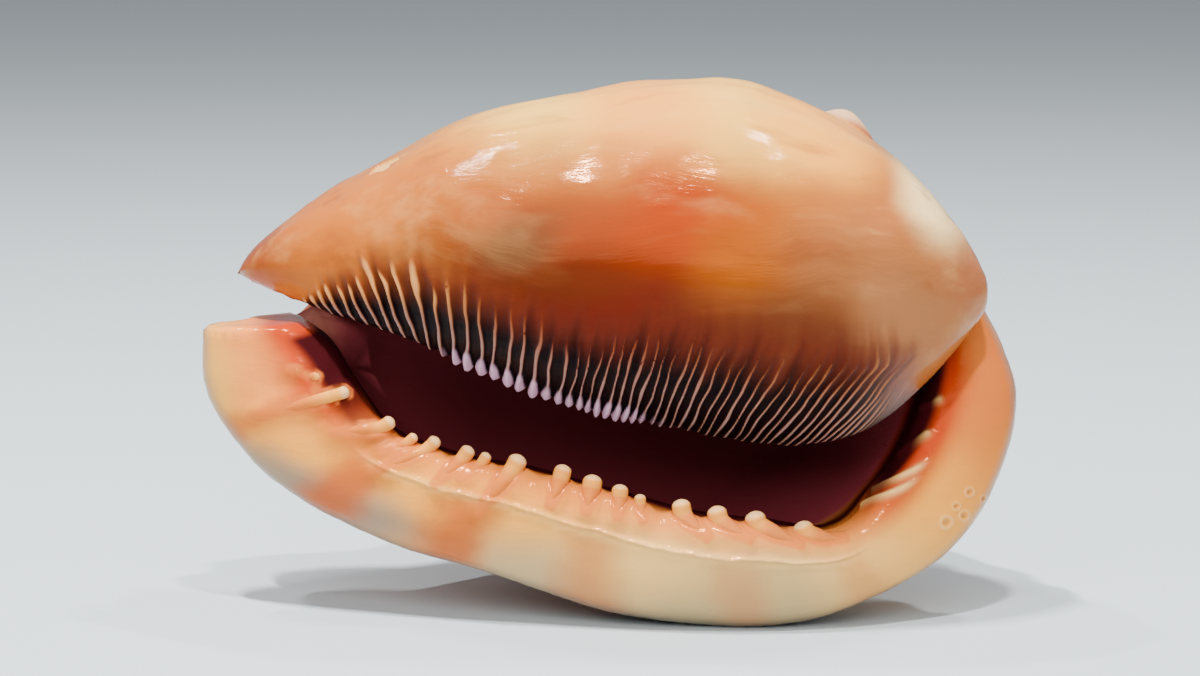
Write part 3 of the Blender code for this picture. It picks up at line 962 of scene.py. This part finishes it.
def shell_material():
    """Callus polished like porcelain, with soft clouds under the gloss, over a duller, ruddy whorl."""
    material = bpy.data.materials.new("Polished shell callus")
    material.use_nodes = True
    tree = material.node_tree
    shader = tree.nodes["Principled BSDF"]
    known = {name: read_mark(tree, name) for name in FORM_COLOURS + RELIEF_COLOURS}

    def over(below, colour, share):
        """Lays a colour over another by this share."""
        colour = tint(colour) if isinstance(colour, str) else colour
        return add(tree, "ShaderNodeMix", {0: share, 6: below, 7: colour}, 2, data_type="RGBA")

    def paint(below, *layers):
        """Lays colours over another in turn, each by the share that its formula gives."""
        for colour, share in layers:
            below = over(below, colour, formula(tree, share, **known))
        return below

    def clouds(below, table):
        for colour, (x, z), (wide, high), turn, strength in table:
            inputs = {
                "Vector": drifted,
                "Location": (x, 0, z),
                "Rotation": (0, math.radians(-turn), 0),
                "Scale": (wide, CLOUD_DEPTH, high),
            }
            centred = add(tree, "ShaderNodeMapping", inputs, vector_type="TEXTURE")
            near = add(tree, "ShaderNodeTexGradient", [centred], "Fac", gradient_type="SPHERICAL")
            share = formula(tree, "strength * ease(near, 0, 0.8)", near=near, strength=strength)
            below = over(below, colour, share)
        return below

    def stretched(turn, scale):
        """The drifted place, turned this many degrees in the front's plane and stretched."""
        return add(
            tree,
            "ShaderNodeMapping",
            {"Vector": drifted, "Rotation": (0, math.radians(turn), 0), "Scale": scale},
        )

    place = scaled(tree, add(tree, "ShaderNodeTexCoord", output="Object"), 1 / MM)
    broad = noise(tree, place, 1 / 30, 2.0, output="Color")
    broad = add(tree, "ShaderNodeVectorMath", [broad, (0.5, 0.5, 0.5)], operation="SUBTRACT")
    drift = scaled(tree, broad, CLOUD_DRIFT)
    drifted = add(tree, "ShaderNodeVectorMath", [place, drift], operation="ADD")
    known["x"], _, known["z"] = parts_of(tree, place)
    known.update(
        fine=noise(tree, place, 1 / 5, 4.0),
        uneven=noise(tree, place, 1 / 9, 3.0),
        veil=noise(tree, stretched(-12, (0.03, 0.1, 0.11)), 1.0, 4.0, 0.55),
        wrinkle=noise(tree, stretched(-24, (0.05, 0.3, 0.45)), 1.0, 5.0, 0.6),
        peel=noise(tree, place, 0.8, 3.0),
    )

    # The shares of the three forms in the colour, the places on them that have a colour of their own, and
    # where painted shade of the deep mouth goes.
    work_out(
        tree,
        known,
        lip="1 - ease(lip_near, 0.3, 2.2)",
        shield="1 - ease(shield_near, 0.5, 2.2)",
        whorl="(1 - ease(whorls_near, 0.5, 1.5)) * (1 - lining)"
        " * (1 - (1 - ease(lip_near, 4, 9)) * (1 - ease(across, -0.2, 0.2)))",
        pale="1 - hump(x, 2, 50) * hump(z, 60, 18)",
        groove="zone * (1 - ease(crest, 0.35, 0.85))",
        tail="zone * hump(x, 54, 6) * hump(z, 38, 8)",
        rim="hump(side, 0.14, 0.12) * ease(side, 0.005, 0.05) * ease(x, -62, -50)",
        wobble="along + (uneven - 0.5) * 0.035",
        canal_end="ease(along, 0.78, 0.92)",
        spire_end="1 - ease(along, 0.24, 0.34)",
        middle="ease(along, 0.32, 0.4)",
        shaded="across - 0.28 * (1 - ease(along, 0.1, 0.26))",
        glow="max((1 - ease(across, -0.45, 0.15)) * canal_end, (1 - ease(shaded, -0.62, -0.05)) * spire_end)",
        # Painted shade: behind marks where the lip turns away into the deep mouth, behind the teeth in the
        # middle and at both ends, and is darkened there.
        behind_middle="(1 - ease(across, -0.2, 0.2)) * ease(0.3 * middle - front, 0, 0.35)"
        " * (1 - ease(along, 0.9, 0.95))",
        behind_canal="(1 - ease(across, -0.68, -0.38)) * canal_end",
        behind_spire="(1 - ease(shaded, -0.98, -0.7)) * spire_end",
        behind="max(max(behind_middle, behind_canal), behind_spire) * (1 - ease(along, 0.975, 0.99))",
    )

    shield_colour = paint(
        clouds(tint("ad6123"), SHIELD_CLOUDS),
        # A veil of pale and dark streaks.
        ("e8b26a", "0.28 * ease(veil, 0.52, 0.74) * pale"),
        ("7a3014", "0.35 * ease(-veil, -0.46, -0.3)"),
        # The grooves between the folds, brown where they fade and nearly black below.
        ("5e2418", "groove * (1 - ease(fade, 0.7, 1.25)) * 0.85"),
        ("100709", "groove * (1 - ease(fade, 0.42, 0.88))"),
        # The folds: greyed at the spire end, brown above, grey below, and pale at the canal end.
        ("a88a80", "0.55 * tail"),
        ("9c5832", "ease(crest, 0.55, 0.95) * (1 - ease(climb, 0.7, 1.05)) * 0.6"),
        ("86706e", "ease(crest, 0.5, 0.9) * (1 - ease(climb, 0.2, 0.7)) * 0.8"),
        ("dc9858", "0.75 * ease(crest, 0.4, 0.9) * ease(climb, 0.35, 0.7) * (1 - ease(x, -36, -20))"),
        # The edge's mauve rim, the beads and the chip.
        ("9a7078", "0.85 * rim"),
        ("bd93a6", "ease(bead, 0.2, 0.6)"),
        ("d2a05a", "chip"),
    )

    lip_colour = clouds(tint("f09c34"), LIP_CLOUDS_AND_PAINTED_SHADE)
    for bar in LIP_BARS:
        known.update(zip(("bar_at", "bar_wide", "strength"), bar))
        share = "(1 - ease(abs(wobble - bar_at) / bar_wide, 0.2, 1.4)) * strength * ease(across, -0.8, 0)"
        lip_colour = paint(lip_colour, ("b8521e", share))
    lip_colour = paint(
        lip_colour,
        # The outer margin greyed as painted shade and painted floor reflection, the ruddy inner slope, and the
        # glow towards the mouth at both ends.
        ("847c6c", "0.6 * ease(across, 0.7, 0.98)"),
        ("dc7428", "(1 - ease(across, -0.9, -0.2)) * 0.8"),
        ("ae2c0c", "glow * 0.95"),
        # Pale rings round the scars, stained pits, and pale ridges.
        ("f0d8a8", "ease(scar, 0.3, 0.9) * 0.22"),
        ("a8744a", "ease(-scar, 0.2, 0.8) * 0.4"),
        ("ecbc70", "max(ridge * 0.9, step * 0.4)"),
    )

    # The whorls' outside is mottled and ruddy, with pale growth rings and knobs.
    work_out(tree, known, turn_place="turn * 0.16", way_place="way * 3")
    rings = add(tree, "ShaderNodeCombineXYZ", [known["turn_place"], known["way_place"], 0.0])
    known["rings"] = noise(tree, rings, 1.0, 3.0)
    whorl_colour = paint(
        tint("9c4c28"),
        ("743018", "ease(fine, 0.4, 0.7)"),
        ("c98a5c", "0.6 * ease(rings, 0.5, 0.72)"),
        ("e0b888", "ease(knob + 2.2 * (uneven - 0.5) + 1.6 * (fine - 0.5), 1.2, 3.8) * 0.7"),
    )

    colour = paint(
        # The hollow inside, darkened towards the canal end as painted shade, and the three forms over it.
        tint("84323c"),
        ("3c1016", "1 - ease(x, -56, -38)"),
        (whorl_colour, "whorl"),
        (lip_colour, "lip"),
        # Painted shade of the deep mouth, over the lip's inner slope and the wall behind the teeth.
        ("34090e", "behind * lip"),
        # The teeth: a darker orange round the foot, partly stain and partly painted shade where each tooth
        # meets the lip, orange, and cream at the tip.
        ("cf6a2a", "0.8 * ease(tooth, 0.34, 0.5) * lip"),
        ("f2a03c", "ease(tooth, 0.6, 0.9) * 0.8"),
        ("f4cf98", "ease(tooth, 0.96, 1) * 0.6"),
        (shield_colour, "shield"),
        ("6c2430", "shield * ease(side, 0.35, 0.8)"),
    )
    tree.links.new(colour, shader.inputs["Base Color"])

    # The stained grooves, the hollow inside and the painted shade of the mouth on the lip are dull, and the
    # callus is polished. The warm specular tint keeps the polish from veiling the orange with a cold white.
    work_out(
        tree,
        known,
        dull="max(shield * groove, 0.9 * behind * lip)",
        open_air="max(max(lip * (1 - behind), shield * (1 - ease(side, 0.35, 0.8))), whorl)",
        roughness="0.6 - open_air * (0.47 - 0.1 * (fine - 0.5)) + 0.25 * dull + 0.22 * whorl * (1 - shield)"
        " + 0.35 * chip",
    )
    tree.links.new(paint(tint("ffa05c"), ("000000", "dull")), shader.inputs["Specular Tint"])
    tree.links.new(known["roughness"], shader.inputs["Roughness"])
    shader.inputs["Specular IOR Level"].default_value = 0.26

    # Wrinkles in the callus, deeper near the canal, a faint orange peel everywhere, and the lip's ledge.
    work_out(
        tree,
        known,
        crumpled="hump(x, -24, 20) * hump(z, 84, 10)",
        ledge="hump(across + 0.2 * (uneven - 0.5), -0.36, 0.04) * ease(along, 0.3, 0.36)"
        " * (1 - ease(along, 0.8, 0.86))",
        height="(0.32 + 0.25 * crumpled) * wrinkle + 0.025 * peel"
        " + 0.7 * ledge * lip * ease(front, 0.2, 0.6)",
    )
    bump = {"Strength": 0.5, "Distance": MM, "Height": known["height"]}
    tree.links.new(add(tree, "ShaderNodeBump", bump), shader.inputs["Normal"])
    return material


# ---------------------------------------------------------------- one shell

# The merged skin's voxels in millimetres, and how often it is smoothed.
VOXEL = 1.08
SMOOTHING = 3
# How much smaller than the box the shell is kept, in metres.
REST_GAP = 0.00002
# The forms whose marks the merged skin reads, and their marks.
FORM_MARKS = {
    "shield": ("above", "side", "base"),
    "lip": ("along", "across", "front"),
    "whorls": ("turn", "way", "knob", "lining"),
}


def marks_tree():
    """Reads each form's marks onto the merged shell, and how near each form is in millimetres."""
    tree, given = new_tree("Marks", {form: "" for form in FORM_MARKS})
    skin = given["Geometry"]
    for form, names in FORM_MARKS.items():
        guide = read_object(tree, given[form])
        near = add(tree, "GeometryNodeProximity", {"Geometry": guide}, "Distance", target_element="FACES")
        skin = write_marks(tree, skin, {form + "_near": formula(tree, "near * 1000", near=near)})
        for name in names:
            sample = {"Mesh": guide, "Value": read_mark(tree, name)}
            value = add(tree, "GeometryNodeSampleNearestSurface", sample, data_type="FLOAT")
            skin = write_marks(tree, skin, {name: value})
    tree.links.new(skin, tree.nodes.new("NodeGroupOutput").inputs[0])
    return tree


def join(objects, name):
    bm = bmesh.new()
    for obj in objects:
        bm.from_mesh(obj.data)
        bpy.data.objects.remove(obj)
    mesh = bpy.data.meshes.new(name)
    bm.to_mesh(mesh)
    bm.free()
    return link(name, mesh)


def copy_of(obj):
    """A guide that stays behind when the form is merged, to read its marks from."""
    guide = link(obj.name + " guide", obj.data.copy())
    guide.hide_render = True
    return guide


def merge_forms(skin):
    """Turns the overlapping forms into one smooth closed surface."""
    remesh = skin.modifiers.new("One surface", "REMESH")
    remesh.mode = "VOXEL"
    remesh.voxel_size = VOXEL * MM
    smooth = skin.modifiers.new("Grown smooth", "SMOOTH")
    smooth.factor = 0.5
    smooth.iterations = SMOOTHING
    bake(skin)


def marks_of(obj, *names):
    found = []
    for name in names:
        values = np.zeros(len(obj.data.vertices), np.float32)
        obj.data.attributes[name].data.foreach_get("value", values)
        found.append(values)
    return found


def places_of(obj):
    place = np.zeros(len(obj.data.vertices) * 3, np.float32)
    obj.data.vertices.foreach_get("co", place)
    return place.reshape(-1, 3)


def zones(skin, reach=1.1, wrap=0.6):
    """Which points belong to the front that shows, to small details, and to the lip's inner edge.

    The folds count as details up to this reach, a share of their height, and over this wrap round the edge.
    """
    on_shield, above, side, base = marks_of(skin, "shield_near", "above", "side", "base")
    on_lip, along, across, front = marks_of(skin, "lip_near", "along", "across", "front")
    place = places_of(skin) / MM
    to_chip, to_scars = (np.linalg.norm(place - middle, axis=1) for middle in (CHIP, SCARRED))
    outside = (on_shield < 1.2) & (side < wrap)
    front_of_lip = (on_lip < 1.2) & ((front > -0.5) | (across > 0))
    level = FOLD_HEIGHT + 3 * ease(base, -8, 8)
    top = np.minimum(np.minimum(FOLDS_RISE * (base - FOLDS_FROM), level), FOLDS_FALL * (FOLDS_TO - base))
    folds = outside & (above < top * reach + 1) & (base > FOLDS_FROM - 3)
    edge = (on_lip < 2.5) & (across < -0.3) & (front > -0.6) & ((along < 0.34) | (abs(along - 0.6) < 0.25))
    worn = (to_chip < CHIP_REACH) | (to_scars < SCARRED_REACH)
    return outside | front_of_lip, folds | worn, edge


# How freely triangles are taken out of small details, of the rest of what shows, and of the inside. And the
# share of all triangles that stays.
THIN_DETAILS = 0.1
THIN_SHOWN = 0.3
THIN_HIDDEN = 1.0
KEPT = 0.35


def thin(skin):
    """Takes triangles out, fewest where small details will be and most on the inside."""
    shown, details, edge = zones(skin)
    on_whorl, lining = marks_of(skin, "whorls_near", "lining")
    shown = shown | ((on_whorl < 0.9) & (lining < 0.5))
    freely = np.where(details | edge, THIN_DETAILS, np.where(shown, THIN_SHOWN, THIN_HIDDEN))
    group = skin.vertex_groups.new(name="Thinned")
    for weight in np.unique(freely):
        group.add(np.nonzero(freely == weight)[0].tolist(), float(weight), "REPLACE")
    fewer = skin.modifiers.new("Fewer", "DECIMATE")
    fewer.ratio = KEPT
    fewer.vertex_group = group.name
    fewer.vertex_group_factor = 2
    bake(skin)
    skin.vertex_groups.clear()


def refine(skin, wanted, smoothing=2):
    """Halves the faces whose points are all wanted, and smooths them."""
    bm = bmesh.new()
    bm.from_mesh(skin.data)
    bm.verts.ensure_lookup_table()
    faces = [face for face in bm.faces if all(wanted[vert.index] for vert in face.verts)]
    edges = list({edge for face in faces for edge in face.edges})
    made = bmesh.ops.subdivide_edges(bm, edges=edges, cuts=1, use_grid_fill=True)
    made = [item for item in made["geom_inner"] + made["geom_split"] if isinstance(item, bmesh.types.BMFace)]
    verts = list({vert for face in made for vert in face.verts})
    for _ in range(smoothing):
        bmesh.ops.smooth_vert(bm, verts=verts, factor=0.5, use_axis_x=True, use_axis_y=True, use_axis_z=True)
    bm.to_mesh(skin.data)
    bm.free()


def fit_box(skin, box):
    """Keeps the shell inside the box, and wears it flat where it rests."""
    place = places_of(skin)
    place[:, 2] = np.maximum(place[:, 2], REST_GAP)
    low, high = place.min(axis=0), place.max(axis=0)
    inner_low = np.maximum(low, np.array(box[0]) + REST_GAP)
    inner_high = np.minimum(high, np.array(box[1]) - REST_GAP)
    place = inner_low + (place - low) / (high - low) * (inner_high - inner_low)
    skin.data.vertices.foreach_set("co", place.ravel())


# The reach and wrap of the folds' finest zone.
FINEST_REACH = 0.72
FINEST_WRAP = 0.35

material = shell_material()
forms = {"whorls": coil(material), "shield": shield(), "lip": lip()}
guides = {name: copy_of(form) for name, form in forms.items()}
lip_teeth, ridge_guide = teeth(material), ridge_lines()
shell = join([*forms.values(), pillar()], "helmet_shell")
merge_forms(shell)
grow(shell, marks_tree(), guides)
thin(shell)
_, details, edge = zones(shell)
refine(shell, details | edge)
_, details, _ = zones(shell, FINEST_REACH, FINEST_WRAP)
refine(shell, details)
grow(shell, marks_tree(), guides)
grow(shell, relief_tree(material), {"Ridges": ridge_guide, "Teeth": lip_teeth})
grow(shell, fold_tree(material), {"Teeth": lip_teeth})
for guide in (*guides.values(), ridge_guide, lip_teeth):
    bpy.data.objects.remove(guide)
fit_box(shell, cad_box)
shell.data.materials.clear()
shell.data.materials.append(material)
shell.data.polygons.foreach_set("use_smooth", [True] * len(shell.data.polygons))

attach(shell, "root")
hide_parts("shell")


# ---------------------------------------------------------------- floor, light and camera


def plain_material(name, colour, roughness):
    made = bpy.data.materials.new(name)
    made.use_nodes = True
    shader = made.node_tree.nodes["Principled BSDF"]
    shader.inputs["Base Color"].default_value = colour
    shader.inputs["Roughness"].default_value = roughness
    return made


FLOOR_SIZE = 6
bpy.ops.mesh.primitive_plane_add(size=FLOOR_SIZE)
floor = bpy.context.object
floor.name = "floor"
floor.data.materials.append(plain_material("Matt pale paper", tint("bcc6cb"), 0.7))

world = bpy.data.worlds.new("Soft studio")
bpy.context.scene.world = world
world.use_nodes = True
world.node_tree.nodes["Background"].inputs["Color"].default_value = tint("fafdff")
world.node_tree.nodes["Background"].inputs["Strength"].default_value = 0.4

# The lights: name, place, width and depth in metres, and power in watts. They all aim at the shell's middle.
LIGHTS = (
    ("key light", (-0.2, -0.1, 0.92), (0.1, 0.02), 14),
    ("second key light", (0.05, -0.28, 0.85), (0.06, 0.02), 8),
    ("left top light", (-0.32, 0.26, 0.85), (0.08, 0.015), 4),
    ("right top light", (0.3, 0.25, 0.85), (0.12, 0.02), 4),
    ("broad front fill", (-0.4, -1.7, 1.3), (2.5, 1.5), 44),
)
LIGHT_AIM = Vector((0, 0, 0.05))
for name, place, size, power in LIGHTS:
    light_data = bpy.data.lights.new(name, "AREA")
    light_data.shape = "RECTANGLE"
    light_data.size, light_data.size_y = size
    light_data.energy = power
    light = link(name, light_data)
    light.location = place
    light.rotation_mode = "QUATERNION"
    light.rotation_quaternion = (LIGHT_AIM - Vector(place)).to_track_quat("-Z", "Y")

CAMERA_AIM = Vector((-0.0015, -0.00587, 0.0482))
CAMERA_RISE = math.radians(8)
CAMERA_DISTANCE = 0.7
camera_data = bpy.data.cameras.new("camera")
camera_data.lens = 113.6
camera_data.sensor_width = 36
camera = link("camera", camera_data)
back = Vector((0, -math.cos(CAMERA_RISE), math.sin(CAMERA_RISE)))
camera.location = CAMERA_AIM + back * CAMERA_DISTANCE
camera.rotation_euler = (math.pi / 2 - CAMERA_RISE, 0, 0)
bpy.context.scene.camera = camera
